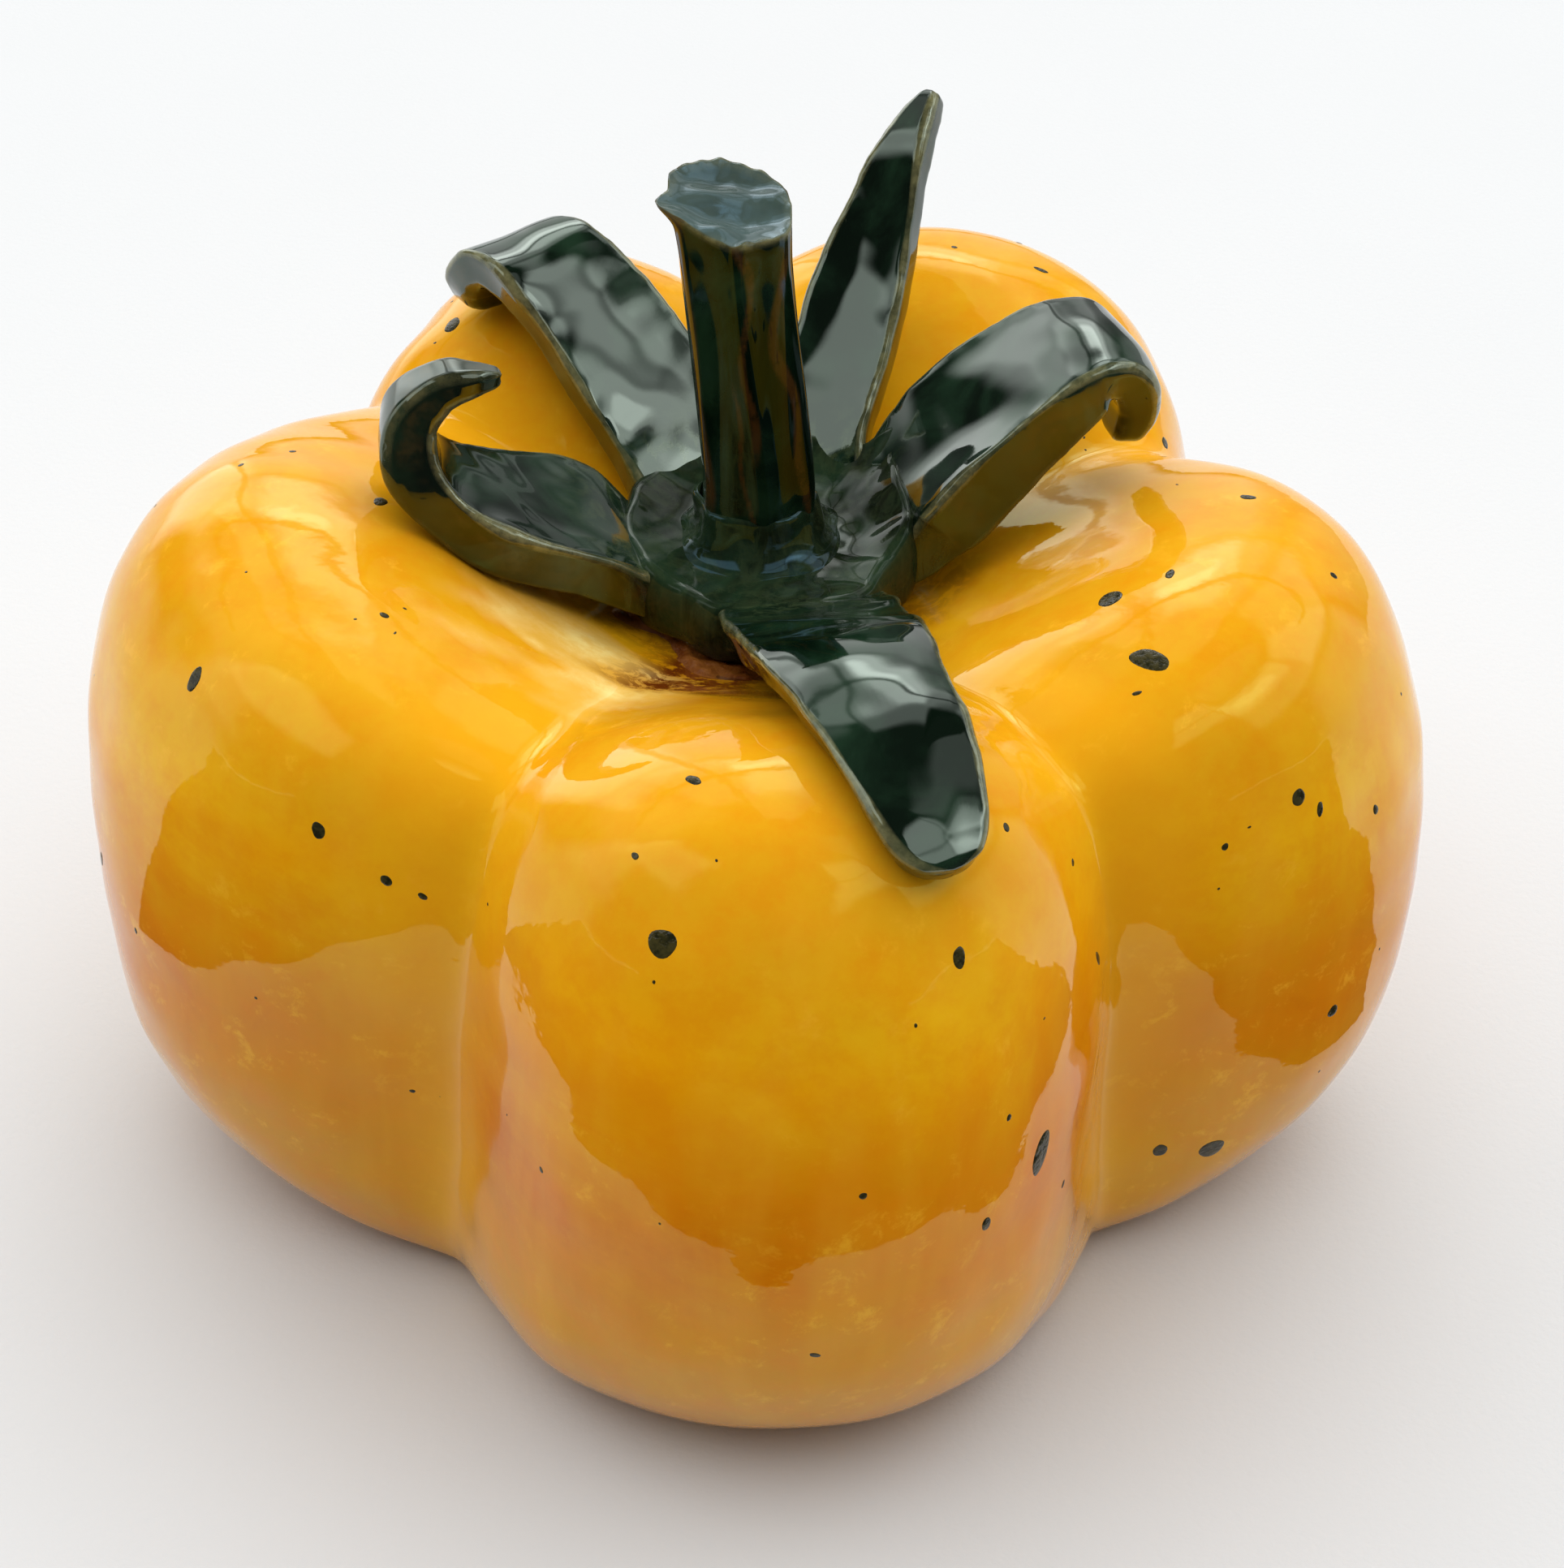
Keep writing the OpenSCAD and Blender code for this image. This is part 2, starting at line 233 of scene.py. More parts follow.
def build(name, rows, closed_path=False, **fields):
    """Object through rows of points: a loop of rows, or a run of rows with a fan on each end."""
    count, around = rows.shape[:2]
    points = rows.reshape(-1, 3)
    index = np.arange(count * around).reshape(count, around)
    first, second = (index, np.roll(index, -1, axis=0)) if closed_path else (index[:-1], index[1:])
    quads = np.stack([first, np.roll(first, -1, axis=1), np.roll(second, -1, axis=1), second], -1)
    faces = quads.reshape(-1, 4).tolist()
    values = {key: value.reshape(-1) for key, value in fields.items()}
    for end in () if closed_path else (0, -1):
        middle = len(points)
        points = np.vstack([points, rows[end].mean(axis=0)])
        values = {key: np.append(value, value[index[end]].mean()) for key, value in values.items()}
        ring = index[end].tolist()
        turn = zip(ring, ring[1:] + ring[:1])
        faces += [(b, a, middle) if end == 0 else (a, b, middle) for a, b in turn]
    return smooth_object(name, points, faces, values)


def finish_piece(piece, material, slot, *nodes):
    """Gives a piece its material, hangs it on the root and hides the CAD nodes that it replaces; slot is
    not used.
    """
    piece.data.materials.append(material)
    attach(piece, "root")
    if nodes:
        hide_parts(*nodes)


# ---- Node graphs ----

class Graph:
    """Short ways to add nodes to one material's or world's tree."""

    def __init__(self, owner):
        owner.use_nodes = True
        self.tree = owner.node_tree
        self.tree.nodes.clear()

    def node(self, kind, **settings):
        """New shader node with the given settings."""
        made = self.tree.nodes.new("ShaderNode" + kind)
        for key, value in settings.items():
            setattr(made, key, value)
        return made

    def put(self, socket, value):
        """Links a socket to the value, or sets it."""
        if isinstance(value, bpy.types.NodeSocket):
            self.tree.links.new(value, socket)
        elif isinstance(value, (tuple, list)) and len(value) == 3 and len(socket.default_value) == 4:
            socket.default_value = (*value, 1.0)
        else:
            socket.default_value = value

    def math(self, operation, *values):
        """Result of one arithmetic step."""
        made = self.node("Math", operation=operation)
        for socket, value in zip(made.inputs, values):
            self.put(socket, value)
        return made.outputs[0]

    def step(self, value, low, high, out_low=0.0, out_high=1.0):
        """Smooth step of value from low to high."""
        made = self.node("MapRange", interpolation_type="SMOOTHSTEP")
        for socket, item in zip(made.inputs, (value, low, high, out_low, out_high)):
            self.put(socket, item)
        return made.outputs[0]

    def blend(self, factor, a, b):
        """Colour a turning into colour b as factor goes from 0 to 1."""
        made = self.node("Mix", data_type="RGBA", blend_type="MIX")
        self.put(made.inputs[0], factor)
        self.put(made.inputs[6], a)
        self.put(made.inputs[7], b)
        return made.outputs[2]

    def noise(self, vector, scale, detail=4.0, roughness=0.55, distortion=0.0):
        """Cloudy noise from 0 to 1, with that many features to a metre."""
        made = self.node("TexNoise")
        self.put(made.inputs["Vector"], vector)
        for key, value in (("Scale", scale), ("Detail", detail), ("Roughness", roughness),
                           ("Distortion", distortion)):
            self.put(made.inputs[key], value)
        return made.outputs[0]

    def stretched(self, scale):
        """Object coordinates with each axis scaled."""
        made = self.node("Mapping")
        self.put(made.inputs["Vector"], self.place())
        self.put(made.inputs["Scale"], Vector(scale))
        return made.outputs[0]

    def place(self):
        """Object coordinates, in metres."""
        return self.node("TexCoord").outputs["Object"]

    def field(self, name):
        """Value that build() stored on each point."""
        return self.node("Attribute", attribute_name=name).outputs["Fac"]

    def bump(self, height, distance, strength=1.0, normal=None):
        """Normal disturbed by a height from 0 to 1 that stands for a distance in metres."""
        made = self.node("Bump")
        self.put(made.inputs["Strength"], strength)
        self.put(made.inputs["Distance"], distance)
        self.put(made.inputs["Height"], height)
        if normal is not None:
            self.put(made.inputs["Normal"], normal)
        return made.outputs[0]

    def surface(self, **inputs):
        """Principled surface with the named inputs, as the material's output."""
        shader = self.node("BsdfPrincipled")
        for key, value in inputs.items():
            self.put(shader.inputs[key.replace("_", " ")], value)
        self.tree.links.new(shader.outputs[0], self.node("OutputMaterial").inputs[0])


def material(name):
    """New material and the graph that fills it."""
    made = bpy.data.materials.new(name)
    return made, Graph(made)


# ---- Glazes ----

# Heights in metres over which the body's colour changes, at the foot, the belly and the crown; the
# belly's change is partly painted shade and light, the crown's is painted shade
FOOT_BAND, BELLY_POOL_AND_SHADE_BAND, CROWN_SHADE_BAND = (0.012, 0.030), (0.028, 0.052), (0.043, 0.056)
BODY_TINT, LEAF_TINT, STALK_TINT = (0.60, 0.94, 0.26), (0.84, 1.0, 0.88), (0.30, 0.62, 0.90)


def amber_glaze():
    """Thick honey glaze: darker low down, partly where it pools and partly as painted shade; paler
    higher up as painted light; painted shade over the crown; a pale patch beside the calyx that is
    partly painted light. It breaks paler over the lobes and browns near the calyx.
    """
    made, g = material("amber_glaze")
    parts = g.node("SeparateXYZ")
    g.put(parts.inputs[0], g.place())
    height = parts.outputs[2]
    cloud = g.step(g.noise(g.place(), 42.0, 6.0, 0.66, 0.8), 0.38, 0.62)
    mottle = g.step(g.noise(g.place(), 240.0, 6.0, 0.7), 0.35, 0.7)
    runs = g.step(g.noise(g.stretched((1.0, 1.0, 0.22)), 120.0, 4.0, 0.6, 0.3), 0.4, 0.72)
    # Darker low down and paler higher up: partly thicker glaze low down, partly painted shade on the
    # lower body and painted light on the upper body.
    high = g.step(height, *BELLY_POOL_AND_SHADE_BAND)
    deep = g.blend(high, (0.66, 0.160, 0.001), (0.95, 0.420, 0.002))
    light = g.blend(high, (0.71, 0.225, 0.002), (0.98, 0.540, 0.006))
    color = g.blend(cloud, deep, light)
    foot = g.step(height, *FOOT_BAND, 0.8, 0.0)
    color = g.blend(foot, color, (0.70, 0.310, 0.002))
    # Painted shade: the crown is darkened to tone down the strong light from overhead.
    color = g.blend(g.step(height, *CROWN_SHADE_BAND), color, (0.78, 0.365, 0.008))
    color = g.blend(g.math("MULTIPLY", mottle, 0.35), color, (0.80, 0.210, 0.001))
    freckle = g.step(g.noise(g.place(), 330.0, 5.0, 0.75, 0.3), 0.54, 0.70)
    color = g.blend(g.math("MULTIPLY", freckle, g.step(cloud, 0.2, 1.0, 0.1, 0.5)), color,
                    (0.98, 0.50, 0.03))
    color = g.blend(g.math("MULTIPLY", runs, 0.2), color, (0.95, 0.52, 0.03))
    color = g.blend(g.field("valley"), color, (0.94, 0.44, 0.010))
    # Pale mask: partly a paler patch of glaze, partly painted light where the calyx shades the body.
    color = g.blend(g.math("MULTIPLY", g.field("pale"), g.step(mottle, 0.0, 1.0, 0.5, 1.0)), color,
                    (0.99, 0.74, 0.24))
    crawl = g.step(g.noise(g.place(), 520.0, 6.0, 0.7, 0.6), 0.38, 0.56)
    stain = g.math("MULTIPLY", g.field("stain"), g.step(crawl, 0.0, 1.0, 0.45, 1.0))
    color = g.blend(stain, color, g.blend(crawl, (0.42, 0.13, 0.004), (0.17, 0.035, 0.003)))
    pits = g.noise(g.place(), 700.0, 2.0, 0.5)
    peel = g.bump(g.noise(g.place(), 160.0, 3.0, 0.5), 0.00006, 1.0, g.bump(pits, 0.000012))
    g.surface(Base_Color=color, Roughness=g.step(mottle, 0.0, 1.0, 0.025, 0.055), IOR=1.5,
              Specular_Tint=BODY_TINT, Normal=peel)
    return made


def leaf_glaze(name, streaks=0.0, shine=1.8):
    """Near-black green glaze that breaks olive and brown on edges and drags where it was brushed; with
    streaks, the stalk's cut face is painted paler grey-green as painted reflection.
    """
    made, g = material(name)
    cloud = g.step(g.noise(g.place(), 110.0, 5.0, 0.6, 0.5), 0.40, 0.66)
    fine = g.noise(g.place(), 900.0, 4.0, 0.65)
    broad = g.noise(g.place(), 190.0, 3.0, 0.6, 0.4)
    drag = g.step(g.noise(g.stretched((1.0, 1.0, 0.2)), 620.0, 5.0, 0.7, 0.6), 0.46, 0.60)
    color = g.blend(cloud, (0.0014, 0.005, 0.0022), (0.009, 0.028, 0.013))
    flank = g.math("MULTIPLY", g.field("flank"), g.step(fine, 0.36, 0.66))
    flank = g.math("MULTIPLY", flank, g.step(broad, 0.30, 0.62))
    color = g.blend(flank, color, (0.040, 0.030, 0.009))
    edge = g.math("MULTIPLY", g.field("edge"), g.step(fine, 0.30, 0.66, 0.35, 1.0))
    edge = g.math("MULTIPLY", edge, g.step(broad, 0.28, 0.58, 0.35, 1.0))
    color = g.blend(edge, color, (0.20, 0.19, 0.085))
    rooted = g.math("MULTIPLY", g.field("root"), drag)
    color = g.blend(g.math("MULTIPLY", rooted, 0.8), color, (0.050, 0.072, 0.030))
    if streaks:
        streak = g.math("MULTIPLY", g.field("streak"), g.step(fine, 0.30, 0.55, 0.4, 1.0))
        color = g.blend(g.math("MULTIPLY", streak, streaks), color, (0.075, 0.031, 0.007))
        # Painted reflection: the cut face is painted paler grey-green to stand for the sheen of its
        # glaze.
        color = g.blend(g.math("MULTIPLY", g.field("cut"), g.step(broad, 0.3, 0.7, 0.5, 1.0)), color,
                        (0.062, 0.098, 0.092))
    rough = g.math("ADD", g.math("MULTIPLY", g.field("edge"), 0.5), g.math("MULTIPLY", rooted, 0.5))
    pits = g.bump(fine, 0.00003, g.math("MINIMUM", g.math("ADD", rough, 0.05), 1.0))
    lumps = g.bump(g.noise(g.place(), 150.0, 2.0, 0.5), 0.00003, 1.0, pits)
    g.surface(Base_Color=color, Roughness=g.step(cloud, 0.0, 1.0, 0.04, 0.08), IOR=shine,
              Specular_Tint=STALK_TINT if streaks else LEAF_TINT, Normal=lumps)
    return made


def bare_clay():
    """Buff stoneware left unglazed under the foot, with grog and a faint flame mark."""
    made, g = material("bare_clay")
    blotch = g.step(g.noise(g.place(), 60.0, 5.0, 0.6), 0.35, 0.7)
    grog = g.step(g.noise(g.place(), 1400.0, 2.0, 0.5), 0.62, 0.70)
    color = g.blend(blotch, (0.56, 0.40, 0.26), (0.66, 0.50, 0.34))
    color = g.blend(g.math("MULTIPLY", grog, 0.6), color, (0.26, 0.16, 0.09))
    g.surface(Base_Color=color, Roughness=g.step(grog, 0.0, 1.0, 0.85, 0.7),
              Normal=g.bump(g.noise(g.place(), 900.0, 5.0, 0.6), 0.00012))
    return made


def iron_slip():
    """Red-brown iron slip that squeezed out under the calyx and fired rough."""
    made, g = material("iron_slip")
    patch = g.step(g.noise(g.place(), 420.0, 5.0, 0.65), 0.35, 0.65)
    color = g.blend(patch, (0.16, 0.035, 0.006), (0.33, 0.11, 0.012))
    g.surface(Base_Color=color, Roughness=g.step(patch, 0.0, 1.0, 0.25, 0.5), IOR=1.5,
              Normal=g.bump(g.noise(g.place(), 1100.0, 5.0, 0.65), 0.0002))
    return made


def speck_glaze():
    """Dark oxide specks that floated up in the glaze."""
    made, g = material("speck_glaze")
    fine = g.step(g.noise(g.place(), 1500.0, 3.0, 0.6), 0.35, 0.65)
    color = g.blend(fine, (0.014, 0.014, 0.005), (0.050, 0.042, 0.012))
    g.surface(Base_Color=color, Roughness=g.step(fine, 0.0, 1.0, 0.05, 0.16), IOR=1.4,
              Normal=g.bump(fine, 0.00003))
    return made


# ---- Body ----

AROUND = 480
OUTSIDE = (26, 96, 64)
INSIDE = (5, 9, 6)
STAIN_AT, STAIN_SPREAD = 252.0, 26.0
PALE_AND_LIT_AT, PALE_AND_LIT_SPREAD = 232.0, 22.0
UPPER_SKIN_H = 30.0


def body_fields(rows):
    """Valley, stain and pale masks over the body's points; the pale mask is partly a paler patch of
    glaze and partly painted light where the calyx shades the body.
    """
    x, y, z = rows[..., 0], rows[..., 1], rows[..., 2]
    rho, a = np.hypot(x, y), np.degrees(np.arctan2(y, x)) % 360.0
    full = plan_at(a)[2]
    rough = ripple(rows, 5.0, 21)
    valley = 0.55 * (1 - ease(full / 0.35)) * ease((rho - 14.0) / 10.0)
    near = 1 - ease((rho + 0.9 * rough - 11.0) / 7.0)
    beside_front = 1 - ease(apart(a, STAIN_AT) / STAIN_SPREAD)
    under_front = beside_front * (1 - ease((rho + 1.4 * rough - 18.5) / 4))
    stain = np.where(z > UPPER_SKIN_H, np.clip(0.55 * near + 1.3 * under_front, 0, 1), 0.0)
    # Pale patch beside the front sepal: partly a paler patch of glaze, partly painted light lifting the
    # shade that the calyx casts there.
    pale_and_lit = 1 - ease((apart(a, PALE_AND_LIT_AT) - 8.0) / PALE_AND_LIT_SPREAD)
    band = ease((rho - 14.5) / 2.0) * (1 - ease((rho + 1.8 * rough - 24.5) / 4.0))
    pale = np.where(z > UPPER_SKIN_H, 1.1 * pale_and_lit * band * (0.75 + 0.35 * np.tanh(rough)), 0.0)
    return valley, stain, np.clip(pale, 0, 1)


def surface_at(a, t):
    """Point of the outer skin: arc angles over 90 go on down the well towards the calyx."""
    wall = side_point(a, np.minimum(t, 90.0))
    well = well_point(a, np.clip((180.0 - t) / 90.0, 0, 1))
    return np.where((t > 90)[..., None], well, wall)


def swollen(points, out):
    """Points moved out by the hand-shaped unevenness of the wall, fading at the foot and seat."""
    rho = np.hypot(points[..., 0], points[..., 1])
    settle = ease(points[..., 2] / 4.0) * ease((rho - 12) / 6)
    swell = 0.20 * ripple(points, 30.0, 3) + 0.05 * ripple(points, 9.0, 4)
    return points + out * (swell * settle)[..., None]


def skin_at(a, t, proud):
    """Point of the finished skin, standing proud by some millimetres."""
    step = 0.25
    point = surface_at(a, t)
    out = unit(np.cross(surface_at(a + step, t) - surface_at(a - step, t),
                        surface_at(a, t + step) - surface_at(a, t - step)))
    return swollen(point, out) + out * np.asarray(proud)[..., None]


def make_body():
    """Hollow shell: the outer skin, the hole that the slab closes, and the inner skin."""
    outside = skin_rows(0.0, AROUND, OUTSIDE)
    outside = swollen(outside, outward(outside))
    inside = skin_rows(WALL, AROUND, INSIDE)[::-1]
    hole = turned([(SLAB_R, 0.0), (SLAB_R, WALL)], AROUND)
    rows = np.concatenate([outside, hole, inside])
    valley, stain, pale = body_fields(rows)
    body = build("body_glazed", rows, valley=valley, stain=stain, pale=pale)
    finish_piece(body, amber_glaze(), "body_glaze", "body_shell")


# The larger oxide specks: azimuth, arc angle, width, height
SPECKS = [
    (211, 57, 1.2, 2.1), (192, 116, 1.5, 1.0), (228, 44, 1.1, 1.3), (234, 38, 0.9, 0.9),
    (237, 36, 0.7, 0.6), (234, -3, 0.5, 0.4), (253, 3, 0.5, 0.5), (263, 51, 2.3, 1.9),
    (264, 88, 1.2, 0.9), (260, 68, 0.6, 0.5), (286, 46, 1.0, 1.7), (294, 4, 2.1, 3.4),
    (298, -3, 0.5, 0.7), (290, 14, 0.5, 0.6), (288, 1, 0.9, 1.1), (278, 11, 0.6, 0.6),
    (275, -9, 0.9, 0.5), (328, 114, 2.1, 1.7), (334, 105, 1.2, 0.7), (320, 90, 1.9, 2.3),
    (316, 85, 0.7, 0.4), (354, 90, 0.9, 0.8), (343, 72, 0.6, 0.7), (324, 41, 1.2, 1.4),
    (326, 36, 0.6, 1.3), (317, 38, 0.6, 0.6), (333, 27, 0.6, 1.0), (330, -1, 1.0, 1.6),
    (322, -22, 2.1, 2.4), (317, -20, 1.2, 1.6), (301, 50, 0.4, 0.6), (304, 23, 0.6, 1.7),
    (293, 69, 0.6, 0.7), (53, 84, 1.4, 0.6), (185, 84, 0.6, 0.4), (217, 101, 0.7, 0.6),
    (200, 6, 0.8, 1.8), (208, 4, 0.4, 0.6)]
SPECK_AROUND = 22
# A speck's rings from its middle outwards and back in underneath: share of its size, and height
SPECK_SHARES = np.array([0.15, 0.45, 0.75, 0.92, 1.0, 0.6, 0.2])
SPECK_PROUD = np.array([0.045, 0.044, 0.036, 0.018, -0.02, -0.12, -0.14])
SCATTERED, TINY = 34, 46


def speck_places(rng):
    """The larger specks, then scattered ones on the far side and tiny ones all over."""
    places = list(SPECKS)
    for _ in range(SCATTERED):
        size = 0.35 + 1.4 * rng.random() ** 3
        places.append((rng.uniform(20, 185), rng.uniform(-25, 105), size, size * rng.uniform(0.7, 1.4)))
    for _ in range(TINY):
        places.append((rng.uniform(0, 360), rng.uniform(-30, 110), rng.uniform(0.16, 0.34),
                       rng.uniform(0.16, 0.40)))
    return places


def speck_rings(rng, azimuth, arc, wide, tall):
    """Rings of points of one speck, an uneven oval turned by a random angle."""
    q = np.arange(SPECK_AROUND) * 2 * math.pi / SPECK_AROUND
    outline = 1 + sum(rng.uniform(0.03, 0.16) / k * np.sin(k * q + rng.uniform(0, 6.28))
                      for k in (1, 2, 3, 5))
    here = surface_at(np.array([azimuth, azimuth + 1.0, azimuth]), np.array([arc, arc, arc + 1.0]))
    per_turn = np.linalg.norm(here[1] - here[0])
    per_arc = max(0.2, np.linalg.norm(here[2] - here[0]))
    tilt = rng.uniform(-0.5, 0.5)
    u, v = wide / 2 * np.cos(q) * outline, tall / 2 * np.sin(q) * outline
    u, v = u * math.cos(tilt) - v * math.sin(tilt), u * math.sin(tilt) + v * math.cos(tilt)
    proud = SPECK_PROUD * min(1.0, (wide + tall) / 1.6)
    return skin_at(azimuth + SPECK_SHARES[:, None] * u / per_turn,
                   arc + SPECK_SHARES[:, None] * v / per_arc, proud[:, None] * np.ones_like(u))


def make_specks():
    """Every speck is a thin lens of dark glaze let into the skin."""
    rng = np.random.default_rng(5)
    points, faces = [], []
    for place in speck_places(rng):
        rings = speck_rings(rng, *place)
        base, last = len(points), len(rings) - 1
        low, top = base + last * SPECK_AROUND, base + len(rings) * SPECK_AROUND
        points += rings.reshape(-1, 3).tolist() + [rings[0].mean(0).tolist(), rings[-1].mean(0).tolist()]
        for one in range(base, low, SPECK_AROUND):
            two = one + SPECK_AROUND
            for j in range(SPECK_AROUND):
                k = (j + 1) % SPECK_AROUND
                faces.append((one + j, two + j, two + k, one + k))
        for j in range(SPECK_AROUND):
            k = (j + 1) % SPECK_AROUND
            faces.append((base + j, base + k, top))
            faces.append((low + k, low + j, top + 1))
    specks = smooth_object("glaze_specks", np.array(points), faces)
    finish_piece(specks, speck_glaze(), "calyx_glaze")


# ---- Sepals ----

FACE_TOP, FACE_SIDE, FACE_UNDER, CORNER = 20, 5, 12, 6


def section_template():
    """Each section point as shares of the corner centre and of the corner radius."""
    spans = []
    for turn, count in ((0, FACE_TOP), (1, FACE_SIDE), (2, FACE_UNDER), (3, FACE_SIDE)):
        signs = ((1, 1), (-1, 1), (-1, -1), (1, -1))
        here, there = signs[turn], signs[(turn + 1) % 4]
        for i in range(CORNER + 1):
            angle = math.radians(90 * turn + 90 * i / CORNER)
            spans.append((here[0], here[1], math.cos(angle), math.sin(angle)))
        angle = math.radians(90 * (turn + 1))
        for i in range(1, count):
            share = i / count
            spans.append((mix(here[0], there[0], share), mix(here[1], there[1], share),
                          math.cos(angle), math.sin(angle)))
    return np.array(spans)


SECTION = section_template()


def catmull(stations, s):
    """Smooth values through the stations at positions s."""
    i = np.clip(np.floor(s).astype(int), 0, len(stations) - 2)
    t = (s - i)[:, None]
    last = len(stations) - 1
    a, b, c, d = (stations[np.clip(i + k, 0, last)] for k in (-1, 0, 1, 2))
    return 0.5 * (2 * b + (c - a) * t + (2 * a - 5 * b + 4 * c - d) * t ** 2
                  + (3 * b - a - 3 * c + d) * t ** 3)


# Each sepal: azimuth, width of the underside as a share of the top, and stations of
# distance out, offset across, height, width, thickness, camber and twist in degrees
SEPALS = {
    "front": (284.0, 0.8, [
        [9, 0.9, 49.25, 13.4, 4, 0, 0], [15, 0.1, 52.8, 14.2, 3.6, -0.2, 0],
        [22, -0.8, 56.6, 13.4, 3.4, 0.1, 0], [30, -1.3, 60.6, 12.6, 3.3, 0.5, 3],
        [38, -0.6, 61.5, 10.6, 3.1, 0.7, 4], [43.5, 0.2, 60, 8.8, 3, 0.4, 2],
        [47, 0.9, 58.2, 6.8, 2.8, 0.2, 0], [48.7, 1.3, 57.3, 3.4, 2.4, 0, 0]]),
    "right": (13.0, 1.0, [
        [9, 0, 49.25, 9, 4.2, 0, 0], [12.6, 1, 53.2, 14, 5.4, -0.3, 0],
        [16.6, 0.9, 58.2, 14.6, 5.6, -0.4, 0], [21.8, 0.4, 63.2, 13.4, 5, -0.2, 0],
        [25.2, 0.2, 65.2, 11.8, 4, 0.2, 0], [27.4, 0, 64.4, 9.8, 3.4, 0.3, 0],
        [28.6, -0.2, 61.4, 7.2, 3, 0, 0], [28.4, -0.4, 57.6, 3.6, 2.2, 0, 0]]),
    "back": (67.0, 0.9, [
        [9, 0, 49.25, 9, 4, 0, 0], [13, 1, 53.6, 8.6, 3.8, -0.2, 0],
        [18, 1.2, 58, 8.6, 3.6, -0.4, 0], [22.5, 1.2, 63, 7.8, 3.4, -0.4, -3],
        [25.5, 0.8, 67.6, 6.2, 3, -0.3, -8], [28.2, 0.4, 71.4, 4.4, 2.6, -0.1, -14],
        [30.8, 0, 73.8, 2.6, 2.2, 0, -16], [32.2, -0.2, 74.8, 1.6, 1.6, 0, -16]]),
    "back_left": (127.0, 0.85, [
        [9, 0, 49.25, 9.6, 4.2, 0, 0], [14, -0.4, 53.2, 12, 4.2, -0.2, 0],
        [19, 0.4, 57.6, 11.8, 4, -0.3, 0], [23.5, 1.5, 61.2, 11, 3.8, 0, 0],
        [27.2, 2.8, 63.6, 10.4, 3.6, 0.3, 0], [30.4, 4, 63.4, 9.4, 3.4, 0.3, 0],
        [32.6, 4.8, 60.8, 7, 3, 0, 0], [33, 5, 58.4, 3.6, 2.4, 0, 0]]),
    "left": (193.0, 0.85, [
        [9, 0, 49.25, 9.4, 4.2, 0, 0], [15, -0.4, 53.4, 14.2, 4.6, -0.2, 0],
        [20, 0, 55.6, 13.6, 4.6, -0.3, 0], [24.4, -0.1, 58, 10.8, 4.4, 0, 0],
        [27.2, -0.4, 61.4, 7.8, 4.2, 0.2, 0], [27.3, -0.6, 65.2, 5.8, 3.6, 0.2, 0],
        [25, -0.4, 67.6, 4.2, 2.8, 0, 0], [22, 0, 68.2, 2.8, 2, 0, 0],
        [20.2, 0, 68, 1.4, 1.4, 0, 0]]),
}
SEPAL_STEPS = 22
CORNER_R = 0.75
ROOT_ROWS, ROOT_REACH, ROOT_SQUEEZE = 8, 5.5, 0.55


def sepal_path(table):
    """Positions along a sepal, its station values there, and its directions across and up."""
    stations = np.array(table, dtype=float)
    last = len(stations) - 1
    s = np.linspace(0, last, last * SEPAL_STEPS + 1)
    p = catmull(stations, s)
    ahead = catmull(stations, np.minimum(last, s + 0.05)) - catmull(stations, np.maximum(0, s - 0.05))
    path = unit(mix(np.array([1.0, 0, 0]), unit(ahead[:, :3]), np.minimum(1, s)[:, None]))
    across = unit(np.array([0, 1.0, 0]) - path * path[:, 1:2])
    up = np.cross(path, across)
    turn = np.radians(p[:, 6:7])
    return s, p, across * np.cos(turn) + up * np.sin(turn), up * np.cos(turn) - across * np.sin(turn)


def sepal_rows(table, under, at):
    """Rows of one sepal at its azimuth, and the position along it of each row."""
    s, p, across, up = sepal_path(table)
    # the tip is rounded off over the last rows
    to_tip = ((s - (s[-1] - 0.45)) / 0.46).clip(0, 1)
    round_off = np.sqrt(np.clip(1 - to_tip ** 2, 0.02, 1))
    half_w, half_t = p[:, 3] / 2 * round_off, p[:, 4] / 2 * np.sqrt(round_off)
    radius = np.minimum(CORNER_R, 0.62 * np.minimum(half_w, half_t))
    gx, gz, ex, ez = SECTION.T
    x = gx * (half_w - radius)[:, None] + ex * radius[:, None]
    z = gz * (half_t - radius)[:, None] + ez * radius[:, None]
    x = x * mix(1, under, np.minimum(1, s)[:, None] * (0.5 - z / p[:, 4:5]))
    z = z + np.where(ez > 0, p[:, 5:6] * (1 - (x / half_w[:, None]) ** 2), 0)
    rows = p[:, None, :3] + across[:, None] * x[..., None] + up[:, None] * z[..., None]
    # the root reaches in under the stalk, narrowing as it goes
    root = np.repeat(rows[:1], ROOT_ROWS, axis=0)
    root[..., 0] -= np.linspace(ROOT_REACH, 0, ROOT_ROWS)[:, None]
    root[..., 1] *= np.linspace(ROOT_SQUEEZE, 1, ROOT_ROWS)[:, None]
    rows = np.concatenate([root[:-1], rows])
    c, d = cosd(at), sind(at)
    rows = np.stack([rows[..., 0] * c - rows[..., 1] * d, rows[..., 0] * d + rows[..., 1] * c,
                     rows[..., 2]], -1)
    return rows, np.concatenate([np.zeros(ROOT_ROWS - 1), s])[:, None]


